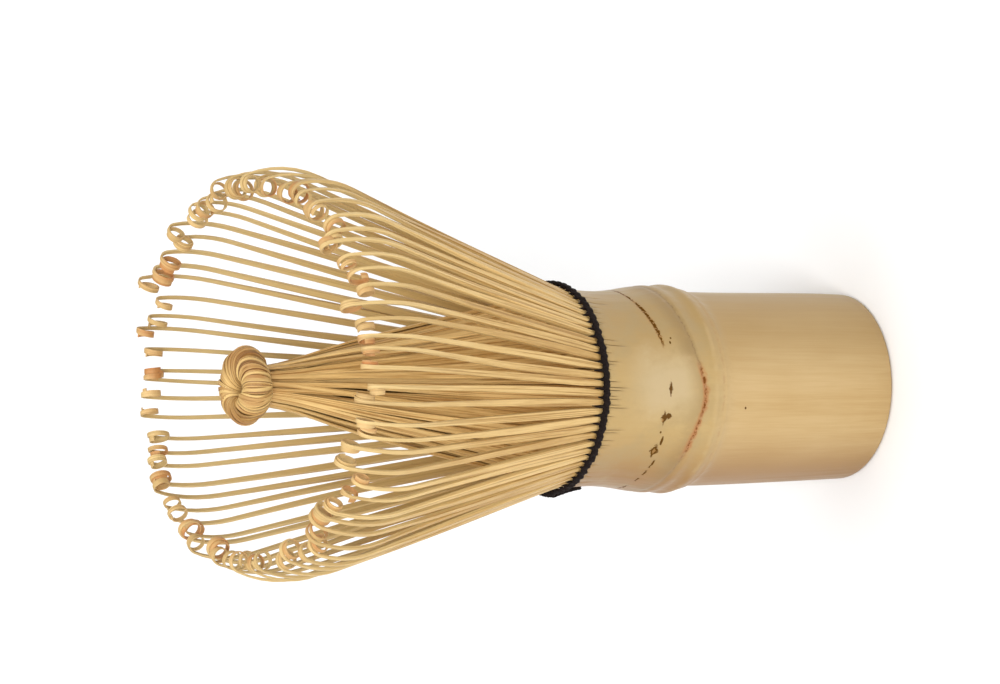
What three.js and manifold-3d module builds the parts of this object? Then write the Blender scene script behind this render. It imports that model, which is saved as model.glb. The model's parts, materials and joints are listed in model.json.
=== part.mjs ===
// Bamboo tea whisk (chasen), standing on the foot of its handle with the tines up.
// Millimetres. +Z runs along the axis from foot to tines, and the origin is the centre of the foot.
//
// A real whisk is one length of bamboo culm and one thread. The culm's upper wall is split into a
// ring of outer tines, which the thread spreads into a bell, and a ring of inner tines, whose ends
// are gathered and twisted into a knot on the axis.
import * as THREE from 'three';
import { mergeVertices } from 'three/addons/utils/BufferGeometryUtils.js';
import Module from 'manifold-3d';

const wasm = await Module();
wasm.setup();

// ---------------------------------------------------------------- driving dimensions

const gap = 0.3;                       // clearance between neighbouring pieces

// Handle: a hollow culm with one node, closed inside by the node's diaphragm.
const handle = {
  height: 46,                          // up to where the wall is split
  footRadius: 13.1,
  footRound: 0.9,
  shaftRadius: 13.6,                   // just below the node
  nodeHeight: 31.5,
  nodeRadius: 14.6,
  nodeRise: 3.6,                       // from the shaft up to the crest of the node
  neckHeight: 42,
  neckRadius: 13.5,
  topRadius: 13.75,
  boreRadius: 9.6,                     // below the diaphragm
  neckBoreRadius: 10.7,                // above it
  diaphragmBottom: 29,
  diaphragmTop: 31.2,
  segments: 40,
};

// Thread: one turn round the outside of the outer tines.
const thread = { height: 49.1, ringRadius: 15.15, radius: 0.45, tailLength: 5.6, tailRadius: 0.5 };

// Outer tines: 72 of them, cut two by two, so that each fork is a root with two tines.
const fork = {
  count: 36,
  tineAngle: THREE.MathUtils.degToRad(5),
  rootInnerRadius: 12.65,
  rootHeight: 1.5,
  flareRadius: 27.5,                   // outer face where the straight flare ends
  flareHeight: 89.6,
  throatRadius: 14.2,                  // outer face at the height of the thread
  bendRadius: 12,                      // the gentle inward bend above the flare
  bendEndLean: THREE.MathUtils.degToRad(-20),
  curlRadius: 1.8,
  curlTurn: THREE.MathUtils.degToRad(285),
  rootThickness: 0.95,
  tipThickness: 0.34,
  rootWidth: 0.78,
  tipWidth: 0.6,
};

// Inner tines: modelled as 18 splints in a cone that leads up to the knot.
const splint = {
  count: 18,
  bottom: 46.8,
  bottomRadius: 12.0,                  // outer face
  topRadius: 2.6,
  bottomThickness: 0.9,
  topThickness: 0.4,
  bottomWidth: 3.2,
  topWidth: 0.42,
};

// Knot: the ends of the inner tines, twisted into a bun with a dimple on top.
const knot = { height: 98.05, ringRadius: 3.5, tubeRadius: 1.85, dimpleDepth: 1.1, segments: 24 };

// ---------------------------------------------------------------- materials

function bamboo(color, roughness) {
  return new THREE.MeshStandardMaterial({ color, roughness, metalness: 0 });
}

const handleBamboo = bamboo(0xc9a26b, 0.5);
const outerBamboo = bamboo(0xdcb677, 0.6);
const innerBamboo = bamboo(0xcfa873, 0.65);
const knotBamboo = bamboo(0xb88550, 0.65);
const darkThread = new THREE.MeshStandardMaterial({ color: 0x1f1216, roughness: 0.85, metalness: 0 });

// ---------------------------------------------------------------- tools

// A geometry's closed surface as a manifold solid.
function solid(geometry) {
  const bare = geometry.clone();
  bare.deleteAttribute('normal');
  bare.deleteAttribute('uv');
  const merged = mergeVertices(bare, 1e-5);
  const vertProperties = new Float32Array(merged.attributes.position.array);
  const triVerts = new Uint32Array(merged.index.array);
  return new wasm.Manifold(new wasm.Mesh({ numProp: 3, vertProperties, triVerts }));
}

// Several overlapping geometries joined into one body.
function join(...geometries) {
  const [first, ...others] = geometries.map(solid);
  const mesh = others.reduce((sum, other) => sum.add(other), first).getMesh();
  const joined = new THREE.BufferGeometry();
  joined.setAttribute('position', new THREE.BufferAttribute(mesh.vertProperties, 3));
  joined.setIndex(new THREE.BufferAttribute(mesh.triVerts, 1));
  joined.computeVertexNormals();
  return joined;
}

// A solid of revolution about Z from [radius, height] points, whose outline starts and ends on Z.
function revolve(points, segments) {
  const outline = points.map(([radius, height]) => new THREE.Vector2(radius, height));
  return new THREE.LatheGeometry(outline, segments).rotateX(Math.PI / 2);
}

// A flat strip that follows a line in the X-Z plane. Each station of the line is
// { x, z, lean, thickness, width }: lean is the angle from +Z towards +X, and width is across Y.
function strip(stations) {
  const side = (sign) => stations.map(({ x, z, lean, thickness }) => new THREE.Vector2(
    x + sign * Math.cos(lean) * thickness / 2,
    z - sign * Math.sin(lean) * thickness / 2,
  ));
  const outline = new THREE.Shape([...side(1), ...side(-1).reverse()]);
  const geometry = new THREE.ExtrudeGeometry(outline, { depth: 1, bevelEnabled: false });
  geometry.translate(0, 0, -0.5).rotateX(Math.PI / 2);
  const first = stations[0];
  const last = stations[stations.length - 1];
  const position = geometry.attributes.position;
  for (let i = 0; i < position.count; i += 1) {
    const share = THREE.MathUtils.clamp((position.getZ(i) - first.z) / (last.z - first.z), 0, 1);
    position.setY(i, position.getY(i) * THREE.MathUtils.lerp(first.width, last.width, share));
  }
  return geometry;
}

// ---------------------------------------------------------------- pieces

function handleGeometry() {
  const h = handle;
  const nodeStart = h.nodeHeight - h.nodeRise;
  const profile = [
    [0, h.diaphragmBottom],
    [h.boreRadius - 1.2, h.diaphragmBottom],
    [h.boreRadius, h.diaphragmBottom - 1.5],
    [h.boreRadius, 0],
    [h.footRadius - h.footRound, 0],
    [h.footRadius - h.footRound * 0.3, h.footRound * 0.3],
    [h.footRadius, h.footRound],
    [h.shaftRadius, nodeStart],
    [h.nodeRadius - 0.3, h.nodeHeight - 1.6],
    [h.nodeRadius, h.nodeHeight],
    [h.nodeRadius - 0.2, h.nodeHeight + 2.6],
    [h.neckRadius + 0.3, h.neckHeight - 3.2],
    [h.neckRadius, h.neckHeight],
    [h.topRadius, h.height],
    [h.neckBoreRadius, h.height],
    [h.neckBoreRadius, h.diaphragmTop + 1.5],
    [h.neckBoreRadius - 1.2, h.diaphragmTop],
    [0, h.diaphragmTop],
  ];
  return revolve(profile, h.segments);
}

// The root of a fork: a short arc of the culm's outer wall.
function forkRootGeometry() {
  const outer = handle.topRadius;
  const inner = fork.rootInnerRadius;
  const halfAngle = Math.PI / fork.count - (gap + 0.02) / inner / 2;
  const outline = new THREE.Shape();
  outline.absarc(0, 0, outer, -halfAngle, halfAngle, false);
  outline.absarc(0, 0, inner, halfAngle, -halfAngle, true);
  const geometry = new THREE.ExtrudeGeometry(outline, {
    depth: fork.rootHeight,
    bevelEnabled: false,
    curveSegments: 3,
  });
  return geometry.translate(0, 0, handle.height + gap);
}

// The line of one outer tine: up the wall to the thread, a straight flare, a gentle inward bend
// and a tight inward curl.
function outerTineStations() {
  const flare = Math.atan2(fork.flareRadius - fork.throatRadius, fork.flareHeight - thread.height);
  const bottom = handle.height + 2 * gap;
  const total = fork.flareHeight - bottom;
  const stations = [];
  const add = (x, z, lean) => {
    const share = Math.min((z - bottom) / total, 1);
    const thickness = THREE.MathUtils.lerp(fork.rootThickness, fork.tipThickness, share);
    stations.push({ x, z, lean, thickness, width: 0 });
  };
  const wallLean = Math.atan2(fork.throatRadius - handle.topRadius, thread.height - handle.height);
  const half = fork.rootThickness / 2;
  add(handle.topRadius - half, bottom, wallLean);
  add(fork.throatRadius - half, thread.height, (wallLean + flare) / 2);
  add(fork.flareRadius - fork.tipThickness / 2, fork.flareHeight, flare);

  let x = stations[2].x;
  let z = fork.flareHeight;
  let lean = flare;
  const arc = (radius, turn, steps) => {
    for (let i = 0; i < steps; i += 1) {
      const step = turn / steps;
      const chord = 2 * radius * Math.sin(step / 2);
      x += chord * Math.sin(lean - step / 2);
      z += chord * Math.cos(lean - step / 2);
      lean -= step;
      add(x, z, lean);
    }
  };
  arc(fork.bendRadius, flare - fork.bendEndLean, 2);
  arc(fork.curlRadius, fork.curlTurn, 7);
  stations[0].width = fork.rootWidth;
  stations[stations.length - 1].width = fork.tipWidth;
  return stations;
}

function forkGeometry() {
  const tine = strip(outerTineStations());
  const left = tine.clone().rotateZ(fork.tineAngle / 2);
  const right = tine.clone().rotateZ(-fork.tineAngle / 2);
  return join(forkRootGeometry(), left, right);
}

function splintGeometry() {
  const top = knot.height - knot.tubeRadius - 1.6 * gap;
  const lean = Math.atan2(splint.topRadius - splint.bottomRadius, top - splint.bottom);
  return strip([
    {
      x: splint.bottomRadius - splint.bottomThickness / 2,
      z: splint.bottom,
      lean,
      thickness: splint.bottomThickness,
      width: splint.bottomWidth,
    },
    {
      x: splint.topRadius - splint.topThickness / 2,
      z: top,
      lean,
      thickness: splint.topThickness,
      width: splint.topWidth,
    },
  ]);
}

function knotGeometry() {
  const { height, ringRadius, tubeRadius, dimpleDepth } = knot;
  const profile = [[0, height - tubeRadius]];
  const steps = 8;
  for (let i = 0; i <= steps; i += 1) {
    const angle = THREE.MathUtils.lerp(-Math.PI / 2, Math.PI * 0.6, i / steps);
    profile.push([ringRadius + tubeRadius * Math.cos(angle), height + tubeRadius * Math.sin(angle)]);
  }
  profile.push([0, height + tubeRadius - dimpleDepth]);
  return revolve(profile, knot.segments);
}

function threadGeometry() {
  return new THREE.TorusGeometry(thread.ringRadius, thread.radius, 6, 60)
    .translate(0, 0, thread.height);
}

// The thread's tied end: a short stub that points down the neck, on the -X side.
function threadTailGeometry() {
  const radius = thread.ringRadius + thread.radius + gap + thread.tailRadius;
  return new THREE.CylinderGeometry(thread.tailRadius, thread.tailRadius * 0.8, thread.tailLength, 8)
    .rotateX(Math.PI / 2)
    .rotateY(THREE.MathUtils.degToRad(-4))
    .translate(-radius - 0.1, 0, thread.height - 1.4);
}

// ---------------------------------------------------------------- assembly

const whisk = new THREE.Group();

function add(name, geometry, material, turn = 0) {
  const mesh = new THREE.Mesh(geometry, material);
  mesh.name = name;
  mesh.rotation.z = turn;
  whisk.add(mesh);
}

function addRing(prefix, count, geometry, material) {
  for (let i = 0; i < count; i += 1) {
    const name = `${prefix}_${String(i + 1).padStart(2, '0')}`;
    add(name, geometry, material, (i + 0.5) * 2 * Math.PI / count);
  }
}

add('handle', handleGeometry(), handleBamboo);
addRing('outer_fork', fork.count, forkGeometry(), outerBamboo);
addRing('inner_splint', splint.count, splintGeometry(), innerBamboo);
add('centre_knot', knotGeometry(), knotBamboo);
add('binding_thread', threadGeometry(), darkThread);
add('thread_tail', threadTailGeometry(), darkThread);

export default whisk;
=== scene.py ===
"""The looks of a bamboo tea whisk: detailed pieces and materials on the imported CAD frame."""

import json
import math
import random

import bpy
from mathutils import Matrix, Vector, noise


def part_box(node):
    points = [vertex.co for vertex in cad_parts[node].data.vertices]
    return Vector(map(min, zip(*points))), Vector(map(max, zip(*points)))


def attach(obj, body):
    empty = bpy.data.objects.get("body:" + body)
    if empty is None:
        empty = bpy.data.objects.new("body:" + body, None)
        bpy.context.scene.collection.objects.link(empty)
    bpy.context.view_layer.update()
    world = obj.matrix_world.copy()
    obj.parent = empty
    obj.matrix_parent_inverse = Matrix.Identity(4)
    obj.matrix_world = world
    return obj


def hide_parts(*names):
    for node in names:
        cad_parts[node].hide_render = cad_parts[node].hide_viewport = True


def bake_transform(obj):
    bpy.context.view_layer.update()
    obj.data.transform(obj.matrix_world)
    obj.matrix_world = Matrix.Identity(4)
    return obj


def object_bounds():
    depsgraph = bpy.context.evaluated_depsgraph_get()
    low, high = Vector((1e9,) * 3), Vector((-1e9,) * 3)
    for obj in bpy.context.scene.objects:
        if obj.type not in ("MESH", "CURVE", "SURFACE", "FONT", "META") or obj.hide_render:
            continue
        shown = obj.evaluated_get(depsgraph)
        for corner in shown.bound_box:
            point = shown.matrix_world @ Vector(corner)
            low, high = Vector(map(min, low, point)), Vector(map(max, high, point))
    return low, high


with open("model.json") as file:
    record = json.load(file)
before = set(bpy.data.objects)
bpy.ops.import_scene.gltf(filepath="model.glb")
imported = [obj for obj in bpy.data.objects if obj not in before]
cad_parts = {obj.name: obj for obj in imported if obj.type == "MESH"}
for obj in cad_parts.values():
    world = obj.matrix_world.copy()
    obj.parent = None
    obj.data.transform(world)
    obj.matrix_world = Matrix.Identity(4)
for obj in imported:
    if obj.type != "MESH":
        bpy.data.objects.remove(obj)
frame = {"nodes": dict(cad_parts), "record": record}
cad_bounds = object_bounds()

# ------------------------------------------------------------------ driving dimensions, metres

MM = 0.001
TURN = 2 * math.pi

thread_low, thread_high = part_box("binding_thread")
knot_low, knot_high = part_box("centre_knot")
fork_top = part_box("outer_fork_01")[1][2]

THREAD_HEIGHT = (thread_low[2] + thread_high[2]) / 2
THREAD_RADIUS = thread_high[0] - 1.05 * MM     # middle of the cord, pressed on the tines
KNOT_HEIGHT = (knot_low[2] + knot_high[2]) / 2
KNOT_TUBE = (knot_high[2] - knot_low[2]) / 2
KNOT_RING = (knot_high[0] - knot_low[0]) / 2 - KNOT_TUBE

TINE_ANGLE = math.radians(5)                   # between neighbouring tines
THROAT_RADIUS = 14.35 * MM                     # the tines' outer face at the thread
ROOT_HEIGHT = 48.3 * MM                        # the tines' lower ends, hidden by the thread
ROOT_RADIUS = 13.53 * MM                       # the middle of their lower ends
FLARE_HEIGHT = fork_top - 12.1 * MM            # where the straight flare ends
FLARE_RADIUS = 27.4 * MM
WALL_LEAN = math.radians(11)                   # the tines' lean where they leave the thread
FLARE_LEAN = math.atan2(FLARE_RADIUS - THROAT_RADIUS, FLARE_HEIGHT - THREAD_HEIGHT)

BELL_LEAN = 1.7 * MM                           # the rim of tips against the axis, along X
CORE_LEAN = 0.1 * MM                           # the knot against the axis
BELL_OVAL = 0.045                              # how much wider the bell is along Y
BELL_TILT = 1.55 * MM                          # the tines on the far side are this much longer
BELL_CORNERS = 1.3 * MM                        # extra length towards the far side's two ends
BELL_SKEW = 0.45 * MM                          # and how that length moves from +X to -X

INNER_RADIUS = 13.5 * MM                       # the inner tines' outer face at their roots
CULM_BORE = 9.6 * MM
NECK_BORE = 10.7 * MM
DIAPHRAGM_BOTTOM = 29 * MM
DIAPHRAGM_TOP = 31.2 * MM


def smooth(low, high, value):
    """0 below low, 1 above high, and a smooth step between."""
    t = min(max((value - low) / (high - low), 0), 1)
    return t * t * (3 - 2 * t)


def mix(a, b, t):
    return a + (b - a) * t


def off_axis(point, lean=BELL_LEAN):
    """The hand-cut culm, its bell and its inner cone don't stand quite on one axis."""
    sag = -0.5 * MM * smooth(0, 28 * MM, point.z)
    rise = max(0, (point.z - 46 * MM) / (52 * MM))
    return Vector((point.x + sag + lean * rise, point.y * (1 + BELL_OVAL * rise), point.z))


# ------------------------------------------------------------------ mesh building


class Loft:
    """The vertices, faces and shading values of one piece, gathered from swept strips."""

    def __init__(self):
        self.points = []
        self.faces = []
        self.values = {"grain": [], "tone": [], "stain": [], "skin": []}

    def sweep(self, rings, closed=False):
        """Rings of (point, grain, skin) with equal counts, a tone and a stain for each ring."""
        start = len(self.points)
        count = len(rings[0][0])
        for ring, tone, stain in rings:
            for point, grain, skin in ring:
                self.points.append(point)
                self.values["grain"].append(grain)
                self.values["tone"].append(tone)
                self.values["stain"].append(stain)
                self.values["skin"].append(skin)
        steps = len(rings) if closed else len(rings) - 1
        for i in range(steps):
            a = start + i * count
            b = start + (i + 1) % len(rings) * count
            for j in range(count):
                k = (j + 1) % count
                self.faces.append((a + j, a + k, b + k, b + j))
        if not closed:
            last = start + (len(rings) - 1) * count
            self.faces.append(tuple(start + j for j in reversed(range(count))))
            self.faces.append(tuple(last + j for j in range(count)))

    def piece(self, name, material, sharp=35):
        mesh = bpy.data.meshes.new(name)
        mesh.from_pydata(self.points, [], self.faces)
        for key, values in self.values.items():
            vector = key == "grain"
            kind = "FLOAT_VECTOR" if vector else "FLOAT"
            layer = mesh.attributes.new(key, kind, "POINT")
            flat = [c for v in values for c in v] if vector else values
            layer.data.foreach_set("vector" if vector else "value", flat)
        mesh.materials.append(material)
        mesh.polygons.foreach_set("use_smooth", [True] * len(mesh.polygons))
        mesh.set_sharp_from_angle(angle=math.radians(sharp))
        obj = bpy.data.objects.new(name, mesh)
        bpy.context.scene.collection.objects.link(obj)
        return obj


def strip_ring(centre, out, side, width, thickness, run, seed, tone, stain, lean=BELL_LEAN):
    """One section of a shaved strip: flat inner face, slightly crowned skin, bevelled edges."""
    bevel = 0.12 * min(width, thickness)
    crown = 0.03 * width
    w = width / 2
    t = thickness / 2
    section = (
        (-w + bevel, -t, 0), (w - bevel, -t, 0), (w, -t + bevel, 0.2), (w, t - bevel, 0.7),
        (w - bevel, t, 1), (0, t + crown * 0.5, 1), (-w + bevel, t, 1), (-w, t - bevel, 0.7),
        (-w, -t + bevel, 0.2),
    )
    ring = []
    for across, deep, skin in section:
        point = centre + side * across + out * deep
        ring.append((off_axis(point, lean), (across + seed, deep, run), skin))
    return ring, tone, stain


def polar(angle, radius, height):
    return Vector((radius * math.cos(angle), radius * math.sin(angle), height))


# ------------------------------------------------------------------ outer tines


def outer_line(angle, rng):
    """(radius, height, lean, run, curl) along the middle of one outer tine.

    It leaves the thread steeply, flares out straight, bends back and ends in a curl inwards.
    Lean is from +Z, run is the length so far, and curl goes from 0 to 1 along the curl.
    """
    step_straight = 2.6 * MM
    length = (FLARE_HEIGHT - ROOT_HEIGHT) / math.cos(FLARE_LEAN) + rng.uniform(-0.8, 0.6) * MM
    length += BELL_TILT * (math.sin(angle) + 0.2)
    across = math.cos(angle)
    length += max(0, math.sin(angle)) * (BELL_CORNERS * abs(across) - BELL_SKEW * across)
    bend_radius = rng.uniform(13.5, 16.5) * MM
    bend_end = math.radians(rng.uniform(-21, -12))
    curl_start = rng.uniform(1.15, 1.5) * MM
    curl_end = curl_start * rng.uniform(0.74, 0.9)
    curl_turn = math.radians(rng.uniform(360, 590))
    splay = math.radians(rng.gauss(0, 0.3))

    radius, height, lean, run = ROOT_RADIUS, ROOT_HEIGHT, WALL_LEAN, 0.0
    line = [(radius, height, lean, run, 0.0)]

    def advance(distance, new_lean, curl):
        nonlocal radius, height, lean, run
        middle = (lean + new_lean) / 2
        radius += distance * math.sin(middle)
        height += distance * math.cos(middle)
        lean = new_lean
        run += distance
        line.append((radius, height, lean, run, curl))

    root_run = 3.4 * MM
    root_steps = 5
    for i in range(root_steps):
        share = smooth(0, 1, (i + 1) / root_steps)
        advance(root_run / root_steps, mix(WALL_LEAN, FLARE_LEAN + splay, share), 0)
    straight_steps = round((length - root_run) / step_straight)
    for _ in range(straight_steps):
        advance((length - root_run) / straight_steps, FLARE_LEAN + splay, 0)
    bend_steps = 6
    bend_turn = lean - bend_end
    for _ in range(bend_steps):
        advance(bend_radius * bend_turn / bend_steps, lean - bend_turn / bend_steps, 0)
    curl_steps = round(math.degrees(curl_turn) / 13)
    for i in range(curl_steps):
        share = (i + 1) / curl_steps
        bend = mix(curl_start, curl_end, share) * mix(1.5, 1, smooth(0, 0.12, share))
        turn = curl_turn / curl_steps
        advance(bend * turn, lean - turn, share)
    return line


def outer_tine(loft, angle, rng):
    """One outer tine: broad at its root, narrow at its waist, thin and broader at its tip."""
    line = outer_line(angle, rng)
    total = line[-1][3]
    side = Vector((-math.sin(angle), math.cos(angle), 0))
    drift = min(max(rng.gauss(0, 0.42), -0.8), 0.8) * MM
    wave = rng.uniform(-0.3, 0.3) * MM
    stray = rng.uniform(-0.08, 0.08) * MM
    belly = rng.gauss(0, 0.3) * MM
    coil = rng.choice((-1, 1)) * rng.uniform(0.5, 1.25) * MM
    tone = rng.random()
    seed = rng.uniform(0, 1)
    stained = rng.random() ** 1.1
    root_width = rng.uniform(1.02, 1.18) * MM
    waist = rng.uniform(0.44, 0.56) * MM
    tip_width = rng.uniform(0.6, 0.9) * MM
    rings = []
    for radius, height, lean, run, curl in line:
        share = run / total
        away = smooth(0, 1, share)
        shift = stray + drift * away + wave * math.sin(math.pi * share * 1.5) + coil * curl
        width = mix(root_width, waist, smooth(0.2, 0.8, share))
        width *= mix(0.76, 1, smooth(0.03, 0.1, share))
        width = mix(width, tip_width, smooth(0.0, 0.25, curl))
        thickness = mix(0.84 * MM, 0.48 * MM, min(share * 1.5, 1))
        thickness = mix(thickness, 0.18 * MM, smooth(0.7, 0.9, share))
        bulge = belly * math.sin(math.pi * min(share * 1.2, 1)) ** 2
        flat = polar(angle, radius + bulge, height) + side * shift
        out = Vector((math.cos(angle) * math.cos(lean), math.sin(angle) * math.cos(lean),
                      -math.sin(lean)))
        stain = smooth(0, 0.35, curl) * stained
        rings.append(strip_ring(flat, out, side, width, thickness, run, seed, tone, stain))
    loft.sweep(rings)


def make_outer_tines(material):
    """Each CAD fork is replaced by two curled tines, which bend from the thread upwards."""
    joints = frame["record"]["behaviour"]["joints"]
    forks = [joint for joint in joints if joint["child"].startswith("fork_")]
    for index, joint in enumerate(forks):
        rng = random.Random(100 + index)
        number = joint["child"].split("_")[1]
        angle = math.atan2(joint["pos_m"][1], joint["pos_m"][0])
        loft = Loft()
        for sign in (-0.5, 0.5):
            outer_tine(loft, angle + sign * TINE_ANGLE, rng)
        obj = loft.piece(f"outer_tines_{number}", material)
        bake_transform(obj)
        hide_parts(f"outer_fork_{number}")


# ------------------------------------------------------------------ inner tines


def inner_tine(loft, angle, layer, rng):
    """One inner tine: down the wall to its root, and straight up to the knot."""
    top_radius = (2.45, 1.8, 1.1)[layer] * MM
    top_height = KNOT_HEIGHT - KNOT_TUBE * 0.55
    twist = math.radians(18 + rng.gauss(0, 8))
    drift = math.radians(rng.gauss(0, 1.1))
    sag = rng.gauss(0, 0.34) * MM
    tone = rng.random()
    seed = rng.uniform(0, 1)
    roll = rng.gauss(0, 0.16)
    full_width = rng.uniform(0.98, 1.22) * MM
    steps = 22
    rings = []
    places = []
    for i in range(steps + 1):
        share = i / steps
        height = mix(ROOT_HEIGHT, top_height, share)
        radius = mix(INNER_RADIUS - 0.3 * MM, top_radius, share)
        radius += sag * math.sin(math.pi * share)
        gather = math.exp(-((1 - share) / 0.16) ** 2)
        radius = mix(radius, top_radius, 0.5 * gather)
        turn = angle + twist * share ** 4 + drift * math.sin(math.pi * share)
        places.append((polar(turn, radius, height), turn, share))
    for i, (point, turn, share) in enumerate(places):
        ahead = places[min(i + 1, steps)][0]
        behind = places[max(i - 1, 0)][0]
        along = (ahead - behind).normalized()
        side = Vector((-math.sin(turn), math.cos(turn), 0))
        side = (side - along * side.dot(along)).normalized()
        out = side.cross(along).normalized()
        if out.dot(Vector((point.x, point.y, 0))) < 0:
            out = -out
        side, out = side + out * roll, out - side * roll
        width = mix(full_width, 0.56 * MM, smooth(0.3, 0.98, share))
        width *= mix(0.6, 1, smooth(0, 0.14, share))
        thickness = mix(0.6 * MM, 0.2 * MM, smooth(0, 0.8, share))
        run = share * (top_height - ROOT_HEIGHT)
        rings.append(strip_ring(point, out, side, width, thickness, run, seed, tone,
                                0.35 * smooth(0.86, 1, share), CORE_LEAN))
    loft.sweep(rings)


def make_inner_tines(material):
    """Four inner tines stand for each CAD splint; they bend from the thread up to the knot."""
    count = sum(name.startswith("inner_splint_") for name in frame["nodes"])
    for index in range(count):
        rng = random.Random(300 + index)
        loft = Loft()
        middle = (index + 0.5) * TURN / count
        for k, layer in enumerate((0, 1, 0, 2 if index % 2 else 1)):
            inner_tine(loft, middle + (k - 2) * TINE_ANGLE, layer, rng)
        obj = loft.piece(f"inner_tines_{index + 1:02d}", material)
        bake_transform(obj)
        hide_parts(f"inner_splint_{index + 1:02d}")


# ------------------------------------------------------------------ knot

KNOT_UNDERSIDE = math.radians(-132)            # the roll where the ribbons come from the cone


def bun_point(turn, roll, lift):
    """A point on the knot's bun: turn round the axis, roll over its rim from the outside.

    Two lobes, a cleft between them, four blunt corners and a heavier side keep it uneven.
    """
    lobe = math.cos(2 * (turn - math.radians(8)))
    cleft = math.exp(-(math.sin((turn - math.radians(212)) / 2) / 0.1) ** 2)
    lopsided = math.cos(turn - math.radians(20))
    corners = math.cos(4 * turn)
    ring = KNOT_RING * (0.84 + 0.01 * lobe + 0.04 * lopsided + 0.03 * corners)
    tube = KNOT_TUBE * (0.94 + 0.03 * lobe - 0.07 * lopsided - 0.16 * cleft) + lift
    radius = ring + 1.2 * tube * math.cos(roll)
    point = polar(turn, max(radius, 0.2 * MM), KNOT_HEIGHT + tube * math.sin(roll) * 0.98)
    point.x -= 0.9 * MM * smooth(math.radians(70), math.radians(170), roll)
    return point


def knot_strand(loft, turn, bundle_lift, bundle_swing, crease, rng):
    """One ribbon that comes from below, wraps over the bun and tucks into its dimple.

    The ribbons part at the far side (+Y): they lean round both flanks towards the near side.
    The bundle's lift and swing are shared by neighbours, so that creases run between bundles;
    crease is 1 for the sunk ribbon between two bundles, painted dark as shade, and 0 for others.
    """
    parting = math.radians(rng.gauss(24, 4)) + bundle_swing
    lift = rng.uniform(-0.13, 0.13) * MM + bundle_lift - 0.24 * MM * crease
    end_roll = math.radians(rng.uniform(186, 222))
    # The crease ribbon's tone is lowered: painted shade between two bundles.
    tone = rng.random() - 1.2 * crease
    seed = rng.uniform(0, 1)
    stained = rng.random() ** 0.8
    width = rng.uniform(0.32, 0.54) * MM
    steps = 26
    points = []
    for i in range(steps + 1):
        roll = mix(KNOT_UNDERSIDE, end_roll, i / steps)
        swing = turn + parting * math.cos(turn) * (roll - math.pi / 2) / (math.pi / 2)
        dip = -0.3 * MM * smooth(math.radians(120), math.radians(190), roll)
        points.append((bun_point(swing, roll, lift + dip), swing, roll))
    rings = []
    for i, (point, swing, roll) in enumerate(points):
        along = (points[min(i + 1, steps)][0] - points[max(i - 1, 0)][0]).normalized()
        tube_centre = polar(swing, KNOT_RING, KNOT_HEIGHT)
        out = (point - tube_centre).normalized()
        side = along.cross(out).normalized()
        out = side.cross(along)
        squeeze = mix(1, 0.42, smooth(math.radians(100), math.radians(178), roll))
        squeeze *= mix(0.7, 1, smooth(KNOT_UNDERSIDE, math.radians(-60), roll))
        run = i / steps * 12 * MM
        stain = stained * smooth(math.radians(-40), math.radians(30), roll)
        stain *= 1 - 0.8 * smooth(math.radians(60), math.radians(120), roll)
        rings.append(strip_ring(point, out, side, width * squeeze, 0.3 * MM, run, seed, tone,
                                stain, CORE_LEAN))
    loft.sweep(rings)


def knot_base(loft):
    """The sunk bun under the ribbons, which closes the gaps between them."""
    around, across = 48, 20
    rings = []
    for i in range(around):
        turn = TURN * i / around
        ring = []
        for j in range(across):
            roll = KNOT_UNDERSIDE + TURN * (across - j) / across
            sunk = -0.26 * MM - 0.45 * MM * smooth(math.radians(110), math.radians(170), roll)
            point = off_axis(bun_point(turn, roll, sunk), CORE_LEAN)
            ring.append((point, (turn * MM, 0, roll * MM), 0))
        rings.append((ring, 0, 0))
    loft.sweep(rings, closed=True)


def make_knot(material):
    """The twisted ends of the inner tines, as bundles of two to five ribbons over a bun."""
    rng = random.Random(7)
    loft = Loft()
    count = 90
    ribbons_left = 0
    for i in range(count):
        crease = 0
        if ribbons_left == 0:
            ribbons_left = rng.choice((2, 3, 4, 5))
            bundle_lift = rng.uniform(-0.12, 0.2) * MM
            bundle_swing = math.radians(rng.uniform(-6, 6))
            crease = 1
        ribbons_left -= 1
        turn = TURN * (i + rng.uniform(-0.3, 0.3)) / count
        knot_strand(loft, turn, bundle_lift, bundle_swing, crease, rng)
    knot_base(loft)
    obj = loft.piece("knot_of_tine_ends", material)
    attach(obj, "core")
    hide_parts("centre_knot")


# ------------------------------------------------------------------ handle

NODE_RADIUS = 14 * MM                          # for arc lengths round the culm
RIM_HEIGHT = 48.6 * MM                         # the neck's rim, inside the roots of the tines
OUTER_PROFILE = (                              # height and radius of the culm's skin, mm
    (0.9, 13.08), (4, 13.2), (9, 13.32), (18, 13.46), (25, 13.58), (27.4, 13.66), (28.4, 13.9),
    (29.0, 14.16), (29.6, 14.26), (30.5, 14.54), (31.1, 14.64), (31.9, 14.4), (32.6, 14.32),
    (33.7, 14.48), (34.6, 14.44),
    (37.2, 14.08), (38.3, 13.9), (40.5, 13.66), (42.5, 13.58), (45, 13.66), (47, 13.86),
    (48.9, 14.12),
)


# The stained line on the node dips at the front, in its shape and in the skin's material.
NODE_LINE_HEIGHT = 35.0 * MM
NODE_LINE_DIP = 3.6 * MM
NODE_LINE_SHIFT = 1.2 * MM
NODE_LINE_SOFTNESS = 2.2 * MM
NODE_LINE_REACH = 6 * MM


def node_line(arc):
    """Height of the stained line on the node; arc runs from the front (-Y) towards +X."""
    away = math.hypot(arc + NODE_LINE_SHIFT, NODE_LINE_SOFTNESS)
    return NODE_LINE_HEIGHT - NODE_LINE_DIP * math.exp(-away / NODE_LINE_REACH)


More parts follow.
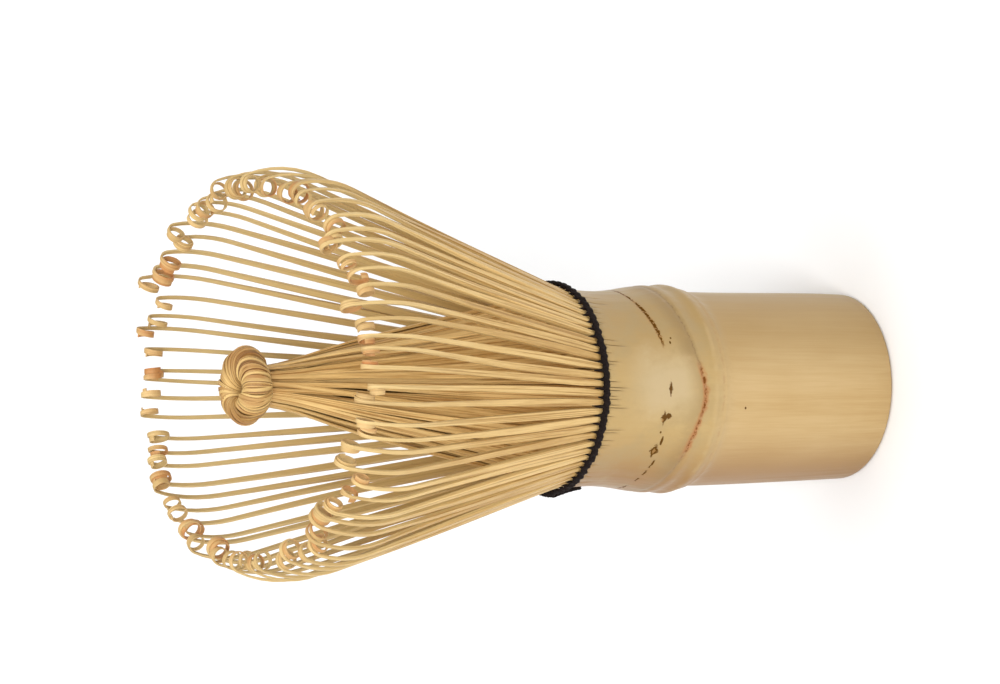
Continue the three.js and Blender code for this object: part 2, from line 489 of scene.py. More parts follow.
def skin_radius(height):
    """The culm's skin between its profile's points, as a Catmull-Rom curve."""
    h = height / MM
    points = OUTER_PROFILE
    i = 0
    while i < len(points) - 2 and points[i + 1][0] < h:
        i += 1
    before = points[max(i - 1, 0)]
    after = points[min(i + 2, len(points) - 1)]
    (h0, r0), (h1, r1) = points[i], points[i + 1]
    t = min(max((h - h0) / (h1 - h0), 0), 1)
    m0 = (r1 - before[1]) / (h1 - before[0]) * (h1 - h0)
    m1 = (after[1] - r0) / (after[0] - h0) * (h1 - h0)
    t2, t3 = t * t, t * t * t
    radius = (2 * t3 - 3 * t2 + 1) * r0 + (t3 - 2 * t2 + t) * m0
    radius += (3 * t2 - 2 * t3) * r1 + (t3 - t2) * m1
    return radius * MM


def foot_rings():
    """The diaphragm's underside, the bore below it and the sawn foot with its soft edge."""
    underside = ((0, 0.4), (0, 4), (0.2, 7.2), (0.9, 8.8), (2.2, 9.5))
    rings = [("inside", DIAPHRAGM_BOTTOM - drop * MM, radius * MM) for drop, radius in underside]
    rings += [("inside", height * MM, CULM_BORE) for height in (24, 18, 12, 6, 1.2, 0.25)]
    rings += [("cut", 0.0, CULM_BORE + 0.25 * MM)]
    rings += [("cut", 0.0, CULM_BORE + share * 3 * MM) for share in (0.3, 0.55, 0.8, 0.93)]
    foot = OUTER_PROFILE[0][1] * MM
    soft = 0.7 * MM
    for k in range(6):
        turn = k / 6 * math.pi / 2
        rings.append(("skin", soft * (1 - math.cos(turn)), foot - soft * (1 - math.sin(turn))))
    return rings


def neck_rings():
    """The neck's rim, the hollow below it and the diaphragm's upper side."""
    rim = ((0, 13.7), (0.3, 12.9), (1.4, 12.2), (2.2, 11.2))
    upper_side = ((1.3, 10.4), (0.3, 9.4), (0, 7.5), (0, 3.5), (0, 0.4))
    rings = [("cut", RIM_HEIGHT - drop * MM, radius * MM) for drop, radius in rim]
    rings += [("inside", height * MM, NECK_BORE) for height in (45.6, 42, 38, 34.5)]
    rings += [("inside", DIAPHRAGM_TOP + rise * MM, radius * MM) for rise, radius in upper_side]
    return rings


def handle_rings():
    """(kind, height, radius) of the culm's rings: underneath, up the skin and down inside.

    The skin's rings lie closest over the node, from 26.2 to 37.3 mm.
    """
    heights = [0.9, 1.6, 2.6] + [4 + 1.5 * k for k in range(15)]
    heights += [26.2 + 0.3 * k for k in range(38)] + [37.9 + 0.5 * k for k in range(14)]
    heights += [44.9 + 0.35 * k for k in range(11)]
    skin = [("skin", height * MM, skin_radius(height * MM)) for height in heights]
    return foot_rings() + skin + neck_rings()


def handle_columns(tines):
    """(angle, slit, groove) of the culm's columns: two slits to a tine, 1 deep in their middle."""
    shares = ((0, 0), (0.13, 0.2), (0.17, 1), (0.21, 0.2),
              (0.5, 0), (0.79, 0.2), (0.83, 1), (0.87, 0.2))
    columns = []
    for i in range(tines):
        for share, groove in shares:
            columns.append(((i + share) * TINE_ANGLE, 2 * i + (share > 0.5), groove))
    return columns


def handle_point(kind, height, radius, angle, slit_start, groove):
    """A point of the culm and how far it lies in a slit; the skin is uneven, most at the node."""
    place = Vector((math.cos(angle) * 1.3, math.sin(angle) * 1.3, height / (17 * MM)))
    wobble = 0.06 * MM * noise.noise(place)
    if kind != "skin":
        radius += wobble if radius > 8 * MM else 0
        return off_axis(polar(angle, radius, height)), 0.0
    knobs = 0.16 * MM * noise.noise(Vector((place.x, place.y, 40)))
    near_node = math.exp(-((height - 32 * MM) / (3.4 * MM)) ** 2)
    arc = math.atan2(math.cos(angle), -math.sin(angle)) * NODE_RADIUS
    crease = math.exp(-((height - node_line(arc)) / (0.34 * MM)) ** 2)
    radius = radius + wobble + knobs * near_node - 0.13 * MM * crease
    radius -= 0.42 * MM * smooth(slit_start, 48.9 * MM, height) * groove
    tilt = 0.35 * MM * near_node * math.sin(angle + 0.6)
    slit = smooth(slit_start, slit_start + 1.4 * MM, height) * groove
    return off_axis(polar(angle, radius, height + tilt)), slit


def face_slot(kind, next_kind):
    """The material slot between two rings: 0 skin, 1 sawn end, also where the skin ends, 2 inside."""
    slots = {"skin": 0, "cut": 1, "inside": 2}
    if (kind == "skin") != (next_kind == "skin"):
        return slots["cut"]
    return max(slots[kind], slots[next_kind])


def make_handle(skin, cut, inside):
    """The culm, with slits between the roots of the tines and an open, hollow foot."""
    rng = random.Random(21)
    tines = round(TURN / TINE_ANGLE)
    slit_starts = [rng.triangular(43.2, 48.7, 47.6) * MM for _ in range(2 * tines)]
    columns = handle_columns(tines)
    rings = handle_rings()
    points, faces, slots, slit_values = [], [], [], []
    for kind, height, radius in rings:
        for angle, slit, groove in columns:
            point, depth = handle_point(kind, height, radius, angle, slit_starts[slit], groove)
            points.append(point)
            slit_values.append(depth)
    count = len(columns)
    for i in range(len(rings) - 1):
        for j in range(count):
            k = (j + 1) % count
            faces.append((i * count + j, (i + 1) * count + j, (i + 1) * count + k, i * count + k))
            slots.append(face_slot(rings[i][0], rings[i + 1][0]))
    last = (len(rings) - 1) * count
    faces.append(tuple(range(count)))
    faces.append(tuple(last + j for j in reversed(range(count))))
    inside_slot = face_slot("inside", "inside")
    slots += [inside_slot, inside_slot]
    mesh = bpy.data.meshes.new("handle_culm")
    mesh.from_pydata(points, [], faces)
    layer = mesh.attributes.new("slit", "FLOAT", "POINT")
    layer.data.foreach_set("value", slit_values)
    for material in (skin, cut, inside):
        mesh.materials.append(material)
    mesh.polygons.foreach_set("material_index", slots)
    mesh.polygons.foreach_set("use_smooth", [True] * len(mesh.polygons))
    mesh.set_sharp_from_angle(angle=math.radians(50))
    obj = bpy.data.objects.new("handle_culm", mesh)
    bpy.context.scene.collection.objects.link(obj)
    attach(obj, "handle")
    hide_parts("handle")


# ------------------------------------------------------------------ thread


def thread_centre(angle):
    """The cord's middle: it stands out over each tine and dips in between two of them."""
    phase = math.cos(angle / TINE_ANGLE * TURN)
    around = Vector((math.cos(angle) * 2, math.sin(angle) * 2, 3))
    wander = noise.noise(around) + 0.7 * noise.noise(around * 5)
    radius = THREAD_RADIUS - 0.1 * MM * phase
    height = THREAD_HEIGHT + 0.03 * MM * phase + 0.2 * MM * wander
    return polar(angle, radius, height)


def ply_ring(centre, along, radius, run, sides=7, flat=1.0):
    """One round section of a ply; flat below 1 makes it thinner across the tines."""
    up = Vector((0, 0, 1))
    out = along.cross(up).normalized()
    up = out.cross(along).normalized()
    ring = []
    for k in range(sides):
        turn = -TURN * k / sides
        offset = out * math.cos(turn) * radius * flat + up * math.sin(turn) * radius
        ring.append((off_axis(centre + offset), (turn * radius, 0, run), 0))
    return ring, 0.5, 0.0


def twisted_cord(loft, path, radius, pitch, flat=1.0, closed=False):
    """Three plies twisted round a path of points; flat below 1 presses the cord on the tines."""
    count = len(path)
    runs = [0.0]
    for i in range(1, count):
        runs.append(runs[-1] + (path[i] - path[i - 1]).length)
    turns = runs[-1] / pitch
    if closed:
        turns = round((runs[-1] + (path[0] - path[-1]).length) / pitch)
    for start in (0, TURN / 3, TURN * 2 / 3):
        centres = []
        for i, point in enumerate(path):
            ahead = path[(i + 1) % count] if closed else path[min(i + 1, count - 1)]
            behind = path[i - 1] if closed else path[max(i - 1, 0)]
            along = (ahead - behind).normalized()
            out = along.cross(Vector((0, 0, 1)))
            if out.length < 0.2:
                out = along.cross(Vector((0, 1, 0)))
            out.normalize()
            up = out.cross(along).normalized()
            share = i / count if closed else i / (count - 1)
            turn = start + TURN * turns * share
            loose = 1 + 0.3 * noise.noise(point * 700 + Vector((start, 0, 0)))
            reach = radius * 0.46 * loose
            centre = point + (out * math.cos(turn) * flat + up * math.sin(turn)) * reach
            centres.append((centre, runs[i]))
        rings = []
        for i, (centre, run) in enumerate(centres):
            ahead = centres[(i + 1) % count][0] if closed else centres[min(i + 1, count - 1)][0]
            behind = centres[i - 1][0] if closed else centres[max(i - 1, 0)][0]
            rings.append(ply_ring(centre, (ahead - behind).normalized(), radius * 0.6, run,
                                  flat=min(1, flat * 1.4)))
        loft.sweep(rings, closed=closed)


def weave_tooth_and_gap_shadow(loft, angle, rng):
    """Where the thread passes inwards between two tines, a small dark tooth: partly thread, partly
    painted shadow in the gap.
    """
    depth = rng.uniform(0.35, 0.7) * MM
    rise = rng.uniform(0.8, 1.8) * MM
    stout = rng.uniform(0.2, 0.32) * MM
    rings = []
    for k in range(5):
        share = k / 4
        centre = polar(angle, THREAD_RADIUS - 0.1 * MM - depth * share,
                       THREAD_HEIGHT + 0.2 * MM + rise * share)
        along = Vector((-math.cos(angle) * depth, -math.sin(angle) * depth, rise)).normalized()
        rings.append(ply_ring(centre, along, mix(stout, 0.07 * MM, share), rise * share, 6))
    loft.sweep(rings)


def make_thread(material):
    """The cord woven round the outer tines: its ring, and a dark tooth between each two tines that is
    partly painted shadow.
    """
    rng = random.Random(5)
    loft = Loft()
    tines = round(TURN / TINE_ANGLE)
    steps = tines * 14
    path = [thread_centre(TURN * i / steps) for i in range(steps)]
    twisted_cord(loft, path, 0.55 * MM, 1.9 * MM, flat=0.38, closed=True)
    for i in range(tines):
        weave_tooth_and_gap_shadow(loft, i * TINE_ANGLE, rng)
    obj = loft.piece("binding_thread_cord", material, sharp=80)
    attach(obj, "handle")
    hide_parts("binding_thread")


def curve_through(points, steps):
    """A Catmull-Rom curve through a few points, as steps + 1 points."""
    last = len(points) - 1
    curve = []
    for i in range(steps + 1):
        place = i / steps * last
        k = min(int(place), last - 1)
        a, b, c, d = (Vector(points[min(max(k + step, 0), last)]) for step in (-1, 0, 1, 2))
        t = place - k
        curve.append(0.5 * (2 * b + (c - a) * t + (2 * a - 5 * b + 4 * c - d) * t * t
                            + (3 * b - a - 3 * c + d) * t * t * t))
    return curve


# Points of the tied end in mm from the -X side of the ring: round it, outwards and upwards.
TAIL_ENDS = (
    ((-2.4, -0.1, 1.0), (-1.2, 0.3, 0.3), (-0.4, 0.35, -0.9), (-0.2, -0.3, -2.7),
     (-0.1, -0.8, -5.3)),
    ((2.2, -0.1, 0.4), (1.0, 0.3, 0.0), (0.2, 0.4, -0.7), (0.45, -0.2, -2.3), (0.7, -0.7, -4.1)),
    ((-1.2, -0.1, -0.3), (-0.6, 0.25, -0.3), (0.0, 0.4, 0.1), (0.6, 0.25, 0.3), (1.1, -0.1, 0.3)),
)


def make_thread_tail(material):
    """The tied end on the -X side: a small hitch and two short ends that point down the neck."""
    loft = Loft()
    for points in TAIL_ENDS:
        path = []
        for place in curve_through(points, 24):
            angle = math.pi + place.x * MM / THREAD_RADIUS
            path.append(polar(angle, THREAD_RADIUS + place.y * MM, THREAD_HEIGHT + place.z * MM))
        twisted_cord(loft, path, 0.33 * MM, 1.5 * MM)
    obj = loft.piece("thread_tied_end", material, sharp=80)
    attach(obj, "handle")
    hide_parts("thread_tail")


# ------------------------------------------------------------------ materials

# The lamps are this much stronger than the colours below were chosen for, so that the floor
# burns out to white; srgb() takes it off the colours again.
LAMP_GAIN = 1.1


class Nodes:
    """Short calls for the nodes of one material."""

    def __init__(self, name):
        self.material = bpy.data.materials.new(name)
        self.material.use_nodes = True
        self.tree = self.material.node_tree
        self.shader = self.tree.nodes["Principled BSDF"]

    def link(self, source, target):
        """Feeds a socket from another node, or sets it when the source is a number."""
        if isinstance(source, (int, float)):
            target.default_value = source
        else:
            self.tree.links.new(source, target)

    def add(self, kind, **settings):
        node = self.tree.nodes.new(kind)
        for key, value in settings.items():
            setattr(node, key, value)
        return node

    def math(self, operation, a, b=0.0):
        node = self.add("ShaderNodeMath", operation=operation)
        self.link(a, node.inputs[0])
        self.link(b, node.inputs[1])
        return node.outputs[0]

    def plus(self, a, b):
        return self.math("ADD", a, b)

    def minus(self, a, b):
        return self.math("SUBTRACT", a, b)

    def times(self, a, b):
        return self.math("MULTIPLY", a, b)

    def absolute(self, a):
        return self.math("ABSOLUTE", a)

    def step(self, value, low, high, start=0.0, end=1.0):
        """A smooth step of value from low to high."""
        node = self.add("ShaderNodeMapRange", interpolation_type="SMOOTHSTEP")
        self.link(value, node.inputs["Value"])
        node.inputs["From Min"].default_value = low
        node.inputs["From Max"].default_value = high
        node.inputs["To Min"].default_value = start
        node.inputs["To Max"].default_value = end
        return node.outputs[0]

    def attribute(self, name, output="Fac"):
        return self.add("ShaderNodeAttribute", attribute_name=name).outputs[output]

    def position(self):
        return self.add("ShaderNodeTexCoord").outputs["Object"]

    def stretch(self, vector, scale):
        node = self.add("ShaderNodeVectorMath", operation="MULTIPLY")
        self.link(vector, node.inputs[0])
        node.inputs[1].default_value = scale
        return node.outputs[0]

    def noise(self, vector, detail=3.0, rough=0.5):
        node = self.add("ShaderNodeTexNoise")
        node.inputs["Scale"].default_value = 1.0
        node.inputs["Detail"].default_value = detail
        node.inputs["Roughness"].default_value = rough
        self.link(vector, node.inputs["Vector"])
        return node.outputs["Fac"]

    def blend(self, share, a, b, mode="MIX"):
        node = self.add("ShaderNodeMix", data_type="RGBA", blend_type=mode)
        self.link(share, node.inputs["Factor"])
        self.colour(a, node.inputs[6])
        self.colour(b, node.inputs[7])
        return node.outputs[2]

    def colour(self, source, target):
        if isinstance(source, tuple):
            target.default_value = (*source, 1.0)
        else:
            self.tree.links.new(source, target)

    def bump(self, height, distance, strength=1.0):
        node = self.add("ShaderNodeBump")
        node.inputs["Distance"].default_value = distance
        node.inputs["Strength"].default_value = strength
        self.link(height, node.inputs["Height"])
        self.tree.links.new(node.outputs["Normal"], self.shader.inputs["Normal"])

    def finish(self, colour, roughness, specular=0.4):
        self.colour(colour, self.shader.inputs["Base Color"])
        self.link(roughness, self.shader.inputs["Roughness"])
        self.link(specular, self.shader.inputs["Specular IOR Level"])
        return self.material


def srgb(red, green, blue):
    """A colour of 0-255 screen values as linear light, under lamps that burn the floor white."""
    values = (red / 255, green / 255, blue / 255)
    linear = (v / 12.92 if v <= 0.04045 else ((v + 0.055) / 1.055) ** 2.4 for v in values)
    return tuple(v / LAMP_GAIN for v in linear)


def tine_material(name, light, dark, inner, stain, pale_tips=0.0):
    """Shaved bamboo: lengthwise fibres, its own colour on the inner side and scorched ends.

    pale_tips is how far the colour fades to a pale one towards the tips.
    """
    n = Nodes(name)
    grain = n.attribute("grain", "Vector")
    axes = n.add("ShaderNodeSeparateXYZ")
    n.link(grain, axes.inputs[0])
    run = axes.outputs["Z"]
    fibres = n.noise(n.stretch(grain, (6200, 6200, 180)), 4, 0.65)
    threads = n.noise(n.stretch(grain, (22000, 22000, 500)), 2, 0.5)
    patches = n.noise(n.stretch(grain, (700, 700, 90)), 3, 0.5)
    tone = n.attribute("tone")
    shade = n.plus(n.times(fibres, 1.0), n.times(patches, 0.5))
    shade = n.plus(shade, n.times(tone, 0.4))
    base = n.blend(n.step(shade, 0.62, 1.24), dark, light)
    lines = n.noise(n.stretch(grain, (4300, 4300, 22)), 2, 0.5)
    base = n.blend(n.step(lines, 0.54, 0.64, 0, 0.7), base, inner, "MULTIPLY")
    base = n.blend(n.step(n.attribute("skin"), 0.75, 0.1, 0, 0.65), base, inner)
    base = n.blend(n.step(run, 24 * MM, 46 * MM, 0, pale_tips), base, srgb(230, 206, 150))
    scorch = n.times(n.attribute("stain"), n.step(patches, 0.3, 0.62))
    base = n.blend(n.times(scorch, 0.85), base, stain)
    n.bump(n.plus(fibres, n.times(threads, 0.6)), 0.05 * MM, 0.7)
    return n.finish(base, n.step(threads, 0.3, 0.7, 0.42, 0.62), 0.35)


class CulmPlaces:
    """The places and noises that the layers of the culm's skin share."""

    def __init__(self, n):
        self.place = n.position()
        axes = n.add("ShaderNodeSeparateXYZ")
        n.link(self.place, axes.inputs[0])
        x, y, self.z = axes.outputs
        self.fibres = n.noise(n.stretch(self.place, (6500, 6500, 110)), 4, 0.6)
        self.streaks = n.noise(n.stretch(self.place, (1300, 1300, 30)), 3, 0.5)
        self.broad = n.noise(n.stretch(self.place, (95, 95, 60)), 3, 0.5)
        self.clouds = n.noise(n.stretch(self.place, (330, 330, 260)), 4, 0.6)
        self.fine = n.noise(n.stretch(self.place, (2600, 2600, 2600)), 3, 0.6)
        self.crumbs = n.noise(n.stretch(self.place, (1250, 1250, 1000)), 3, 0.65)
        # The angle round the culm, from the front (-Y) towards +X, as an arc length in metres.
        angle = n.math("ARCTAN2", x, n.times(y, -1.0))
        self.arc = n.times(angle, NODE_RADIUS)
        self.ragged = n.times(n.minus(self.crumbs, 0.5), 0.8 * MM)


def skin_tones_and_flank_shade(n, at):
    """Two close tones along the fibres, painted shade darker towards the culm's flanks, greyer on the
    neck.
    """
    shade = n.plus(n.times(at.fibres, 0.28), n.times(at.streaks, 0.36))
    shade = n.plus(shade, n.times(at.broad, 0.5))
    base = n.blend(n.step(shade, 0.36, 0.82), srgb(196, 161, 104), srgb(213, 183, 132))
    neck = n.step(at.z, 26 * MM, 33 * MM)
    base = n.blend(n.times(neck, 0.7), base, srgb(189, 158, 99))
    # Painted shade on both flanks fades to one darker colour at the back, where the arc's ends meet.
    seen = n.step(n.absolute(at.arc), 40 * MM, 22 * MM)
    # Painted shade on the +X flank, and a deeper painted shade on the -X flank.
    right = n.times(seen, n.step(at.arc, -1 * MM, 10 * MM, 0, 0.55))
    base = n.blend(right, base, srgb(166, 133, 79))
    left = n.times(seen, n.step(at.arc, -5 * MM, -17 * MM, 0, 0.85))
    base = n.blend(left, base, srgb(154, 109, 54))
    base = n.blend(n.step(seen, 1, 0, 0, 0.6), base, srgb(164, 128, 74))
    cloudy = n.plus(at.clouds, n.times(at.broad, 0.5))
    grey = n.times(n.step(cloudy, 0.66, 0.95), neck)
    return n.blend(n.times(grey, 0.4), base, srgb(172, 150, 106))


def skin_bloom(n, at, base):
    """Pale, slightly grey bloom on the front of the node and neck."""
    reach = n.plus(n.absolute(n.minus(at.arc, 0.4 * MM)), n.times(n.minus(at.clouds, 0.5), 8 * MM))
    bloom = n.times(n.step(reach, 7.0 * MM, 0.6 * MM), n.step(at.z, 32.6 * MM, 36.5 * MM))
    bloom = n.times(bloom, n.step(at.z, 46.5 * MM, 40 * MM))
    return n.blend(n.times(bloom, 0.8), base, srgb(203, 180, 138))


def node_stain(n, at, base):
    """The node's stained line, by the formula of node_line(): returns the colour and its flecks."""
    off_line = n.plus(at.arc, NODE_LINE_SHIFT)
    away = n.math("SQRT", n.plus(n.times(off_line, off_line), NODE_LINE_SOFTNESS ** 2))
    fall = n.math("EXPONENT", n.math("DIVIDE", away, -NODE_LINE_REACH))
    line_height = n.minus(NODE_LINE_HEIGHT, n.times(fall, NODE_LINE_DIP))
    above = n.plus(n.minus(at.z, line_height), at.ragged)
    gap = n.absolute(above)

    # Brown stain and painted groove shade above the line, strongest on the flanks; a thin grey crack.
    off_front = n.absolute(n.plus(at.arc, 2.5 * MM))
    flanks = n.step(off_front, 4.5 * MM, 8 * MM, 0.5, 1)
    shadow = n.times(n.step(above, 3.2 * MM, 0.3 * MM), n.step(above, -0.7 * MM, 0.1 * MM))
    shadow = n.times(shadow, n.step(at.clouds, 0.3, 0.5, 0.6, 1.0))
    base = n.blend(n.times(n.times(shadow, flanks), 0.6), base, srgb(148, 117, 68))
    crack = n.times(n.step(gap, 0.2 * MM, 0.04 * MM), n.step(at.fine, 0.42, 0.56))
    base = n.blend(n.times(crack, 0.4), base, srgb(122, 92, 58))

    # The red stain on its front, with dark flecks along the middle.
    ragged_arc = n.plus(at.arc, at.ragged)
    span = n.times(n.step(ragged_arc, -11.5 * MM, -7.5 * MM),
                   n.step(ragged_arc, 3.9 * MM, 1.8 * MM))
    red = n.times(span, n.step(gap, 0.85 * MM, 0.2 * MM))
    red = n.times(red, n.step(at.crumbs, 0.28, 0.56, 0.4, 1.0))
    base = n.blend(n.times(red, 0.85), base, srgb(186, 118, 62))
    flecks = n.times(n.step(gap, 0.46 * MM, 0.14 * MM), n.step(at.fine, 0.4, 0.54))
    flecks = n.times(n.times(flecks, span), n.step(at.crumbs, 0.4, 0.56, 0.25, 1.0))
    return n.blend(n.times(flecks, 0.9), base, srgb(118, 70, 34)), flecks


def node_edge(n, at, base):
    """Where the node meets the shaft: an orange-brown line under a painted highlight on the crest."""
    # A pale painted highlight along the node's crest.
    crest_gap = n.absolute(n.plus(n.minus(at.z, 30.9 * MM), n.times(at.ragged, 0.6)))
    crest = n.times(n.step(crest_gap, 0.5 * MM, 0.08 * MM), n.step(at.clouds, 0.4, 0.56))
    base = n.blend(n.times(crest, 0.2), base, srgb(214, 184, 134))
    tan_gap = n.absolute(n.plus(n.minus(at.z, 29.5 * MM), n.times(at.ragged, 0.5)))
    tan = n.times(n.step(tan_gap, 0.34 * MM, 0.06 * MM), n.step(at.crumbs, 0.42, 0.6))
    return n.blend(n.times(tan, 0.32), base, srgb(176, 128, 78))


def sheath_scar(n, at, base):
    """A broken brown line that climbs round both flanks of the neck: the colour and the scar."""
    rise = n.plus(n.step(at.arc, 0, 5.5 * MM, 0, 1.1 * MM),
                  n.step(at.arc, 5 * MM, 18 * MM, 0, 1.2 * MM))
    rise = n.plus(rise, n.step(at.arc, 0, -19 * MM, 0, 1.1 * MM))
    gap = n.minus(n.minus(at.z, 37.4 * MM), rise)
    rough = n.times(n.minus(at.fine, 0.5), 0.8 * MM)
    gap = n.absolute(n.plus(gap, rough))
    off_middle = n.absolute(n.minus(at.arc, 11 * MM))
    thick = n.times(n.step(off_middle, 5.5 * MM, 1.5 * MM), 0.12 * MM)
    gap = n.minus(gap, thick)
    upper = n.times(n.step(at.arc, 5 * MM, 7 * MM), n.step(at.arc, 23 * MM, 19 * MM))
    lower = n.times(n.step(at.arc, -7.6 * MM, -8.6 * MM), n.step(at.arc, -25 * MM, -20 * MM))
    amount = n.plus(n.times(upper, 0.13), n.times(lower, 0.05))
    dashes = n.noise(n.stretch(at.place, (520, 520, 60)), 3, 0.7)
    broken = n.step(n.plus(dashes, amount), 0.5, 0.56)
    broken = n.times(broken, n.step(at.fine, 0.36, 0.46))
    scar = n.times(n.step(gap, 0.2 * MM, 0.08 * MM),
                   n.times(broken, n.math("MAXIMUM", upper, lower)))
    halo = n.times(n.step(gap, 0.36 * MM, 0.1 * MM), upper)
    return n.blend(n.times(halo, 0.75), base, srgb(178, 128, 60)), scar


# Brown spots of the skin: arc and height of the middle in mm, half sizes along both, and the
# power of the outline: 1 gives a diamond, 2 an ellipse.
SPOTS = (
    (-0.3, 38.1, 1.15, 0.34, 1), (-4.5, 38.8, 1.0, 0.5, 1), (-4.2, 38.2, 0.5, 0.6, 1),
    (-9.6, 38.85, 1.15, 0.75, 1), (-7.9, 38.3, 0.7, 0.2, 2), (6.3, 37.35, 0.24, 0.14, 2),
    (7.0, 37.1, 0.16, 0.12, 2), (-6.6, 38.85, 0.2, 0.14, 2), (24.0, 38.4, 0.9, 0.3, 2),
    (-31.0, 38.6, 0.8, 0.35, 2), (-3.1, 25.3, 0.2, 0.16, 2),
)
TAN_MIDDLES = ((-4.8, 39.0, 0.28, 0.18, 2), (-9.7, 38.9, 0.5, 0.32, 1))


def from_spot(n, at, spot):
    """0 at a spot's middle and 1 at its edge, made ragged by the fine noise."""
    spot_arc, height, half_arc, half_height, power = spot
    across = n.absolute(n.math("DIVIDE", n.minus(at.arc, spot_arc * MM), half_arc * MM))
    up = n.absolute(n.math("DIVIDE", n.minus(at.z, height * MM), half_height * MM))
    far = n.plus(n.math("POWER", across, power), n.math("POWER", up, power))
    return n.plus(far, n.times(n.minus(at.fine, 0.5), 1.7))


def brown_marks(n, at, base, scar):
    """The scar and the spots in one brown, two of them with a tan middle: colour and marks."""
    marks = scar
    for spot in SPOTS:
        marks = n.math("MAXIMUM", marks, n.step(from_spot(n, at, spot), 1.15, 0.75))
    base = n.blend(n.times(marks, 0.94), base, srgb(94, 59, 19))
    for spot in TAN_MIDDLES:
        base = n.blend(n.step(from_spot(n, at, spot), 1.1, 0.6, 0, 0.7), base, srgb(180, 138, 84))
    return base, marks


def skin_material():
    """The culm's skin: long fibres, a pale bloom, brown sheath scars, a red-stained node, painted
    shade and a painted highlight.
    """
    n = Nodes("culm_skin")
    at = CulmPlaces(n)
    base = skin_bloom(n, at, skin_tones_and_flank_shade(n, at))
    base, flecks = node_stain(n, at, base)
    base = node_edge(n, at, base)
    base, scar = sheath_scar(n, at, base)
    base, marks = brown_marks(n, at, base, scar)
    # Painted shade in the slits between the roots of the tines.
    base = n.blend(n.times(n.attribute("slit"), 0.62), base, srgb(104, 78, 48))
    relief = n.plus(n.times(at.fibres, 0.4), n.times(at.streaks, 0.5))
    relief = n.minus(relief, n.times(marks, 1.5))
    relief = n.minus(relief, flecks)
    n.bump(relief, 0.05 * MM, 0.5)
    # The scars and the dark flecks don't shine.
    gloss = n.step(n.math("MAXIMUM", marks, flecks), 0, 1, 0.35, 0)
    return n.finish(base, n.step(at.streaks, 0.3, 0.7, 0.34, 0.46), gloss)


def cut_material():
    """Sawn end of the culm: pale, with the brown dots of its fibre bundles, denser outside."""
    n = Nodes("culm_cut")
    place = n.position()
    cells = n.add("ShaderNodeTexVoronoi", feature="F1")
    cells.inputs["Scale"].default_value = 1.0
    n.link(n.stretch(place, (1900, 1900, 300)), cells.inputs["Vector"])
    dots = n.step(cells.outputs["Distance"], 0.42, 0.22)
    cloudy = n.noise(n.stretch(place, (600, 600, 300)), 4)
    base = n.blend(cloudy, srgb(206, 176, 126), srgb(232, 208, 164))
    base = n.blend(n.times(dots, 0.6), base, srgb(150, 108, 62))
    n.bump(n.plus(dots, cloudy), 0.04 * MM, 0.6)
    return n.finish(base, 0.7, 0.25)


def inside_material():
    """The culm's inner wall: papery and pale, with faint lengthwise streaks."""
    n = Nodes("culm_inside")
    place = n.position()
    streaks = n.noise(n.stretch(place, (1500, 1500, 60)), 4, 0.6)
    flakes = n.noise(n.stretch(place, (500, 500, 400)), 4, 0.6)
    base = n.blend(streaks, srgb(190, 160, 112), srgb(226, 204, 160))
    base = n.blend(n.step(flakes, 0.55, 0.75, 0, 0.4), base, srgb(172, 134, 84))
    n.bump(n.plus(streaks, flakes), 0.08 * MM, 0.6)
    return n.finish(base, 0.75, 0.2)


def thread_material():
    """Nearly black, faintly purple cotton, with the fibres of each ply."""
    n = Nodes("dark_cotton")
    grain = n.attribute("grain", "Vector")
    fibres = n.noise(n.stretch(grain, (9000, 9000, 1600)), 4, 0.65)
    fuzz = n.noise(n.stretch(n.position(), (5200, 5200, 5200)), 3, 0.6)
    shade = n.plus(n.times(fibres, 0.7), n.times(fuzz, 0.5))
    base = n.blend(n.step(shade, 0.4, 0.9), srgb(15, 8, 7), srgb(44, 30, 25))
    n.bump(shade, 0.08 * MM, 0.9)
    return n.finish(base, 0.85, 0.2)


# ------------------------------------------------------------------ stage


def make_stage():
    """A plain floor of pale, faintly speckled board."""
    n = Nodes("pale_floor")
    speckle = n.noise(n.stretch(n.position(), (90, 90, 90)), 2)
    material = n.finish(n.blend(speckle, (0.93, 0.93, 0.93), (0.95, 0.95, 0.95)), 0.9, 0.1)
    size = 6.0
    corners = [(-size, -size, 0), (size, -size, 0), (size, size, 0), (-size, size, 0)]
    mesh = bpy.data.meshes.new("floor")
    mesh.from_pydata(corners, [], [(0, 1, 2, 3)])
    mesh.materials.append(material)
    floor = bpy.data.objects.new("floor", mesh)
    bpy.context.scene.collection.objects.link(floor)


def area_light(name, place, aim, size, power):
    """A square white lamp at a place, turned towards another."""
    data = bpy.data.lights.new(name, "AREA")
    data.shape = "SQUARE"
    data.size = size
    data.energy = power
    light = bpy.data.objects.new(name, data)
    light.location = place
    direction = Vector(aim) - Vector(place)
    light.rotation_euler = direction.to_track_quat("-Z", "Y").to_euler()
    bpy.context.scene.collection.objects.link(light)


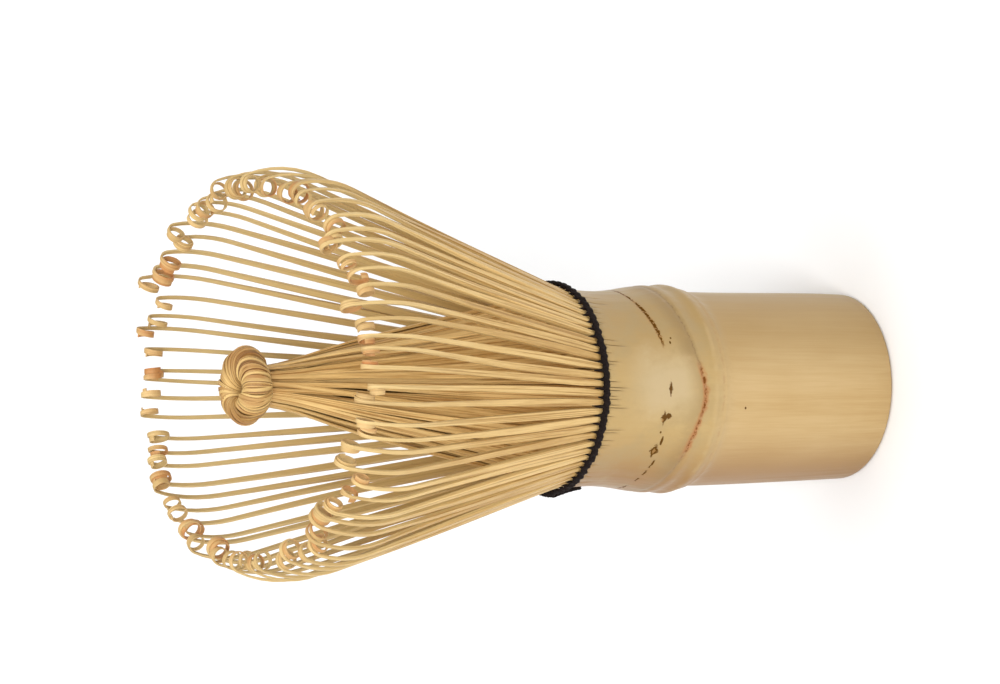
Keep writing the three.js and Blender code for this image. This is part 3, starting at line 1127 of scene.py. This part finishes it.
def make_lights():
    """A soft lamp above the front, a large one overhead, weak ones at both sides, and a pale sky."""
    middle = (0, 0, cad_bounds[1][2] / 2)
    area_light("key", (-0.1, -0.85, 0.72), middle, 0.4, 6.6 * LAMP_GAIN)
    area_light("overhead", (0.0, 0.2, 3.0), middle, 2.6, 68 * LAMP_GAIN)
    area_light("side", (1.0, 0.1, 0.5), middle, 0.8, 1.3 * LAMP_GAIN)
    area_light("fill", (-1.0, -0.1, 0.5), middle, 0.8, 1.9 * LAMP_GAIN)
    world = bpy.data.worlds.new("studio")
    world.use_nodes = True
    background = world.node_tree.nodes["Background"]
    background.inputs["Color"].default_value = (1, 1, 1, 1)
    background.inputs["Strength"].default_value = 0.2 * LAMP_GAIN
    bpy.context.scene.world = world


def make_camera():
    """A long lens, high on the front side and rolled, so that the tines point left."""
    elevation = math.radians(32.26)
    roll = math.radians(-89.48)
    aim = Vector((5.87, 0, 57.33)) * MM
    distance = 1.1063
    data = bpy.data.cameras.new("camera")
    data.sensor_width = 36
    data.lens = 288
    data.clip_end = 20
    camera = bpy.data.objects.new("camera", data)
    turn = Matrix.Rotation(math.pi / 2 - elevation, 4, "X") @ Matrix.Rotation(roll, 4, "Z")
    camera.matrix_world = Matrix.Translation(aim) @ turn @ Matrix.Translation((0, 0, distance))
    bpy.context.scene.collection.objects.link(camera)
    bpy.context.scene.camera = camera


# ------------------------------------------------------------------ the whisk

make_camera()
make_lights()
make_stage()
bpy.context.scene.view_settings.view_transform = "Standard"

outer_bamboo = tine_material("outer_tine_bamboo", srgb(228, 193, 128), srgb(190, 148, 82),
                             srgb(196, 170, 114), srgb(188, 106, 40), pale_tips=0.35)
# The inner tines' bamboo is a lighter copy of the outer: painted light for the light bounced inside
# the bell.
inner_bamboo_painted_light = tine_material("inner_tine_bamboo", srgb(246, 208, 138), srgb(192, 148, 82),
                             srgb(188, 152, 90), srgb(180, 120, 58))
knot_bamboo = tine_material("knot_bamboo", srgb(234, 198, 128), srgb(170, 126, 66),
                            srgb(112, 72, 36), srgb(160, 98, 46))
thread = thread_material()

make_handle(skin_material(), cut_material(), inside_material())
make_outer_tines(outer_bamboo)
make_inner_tines(inner_bamboo_painted_light)
make_knot(knot_bamboo)
make_thread(thread)
make_thread_tail(thread)
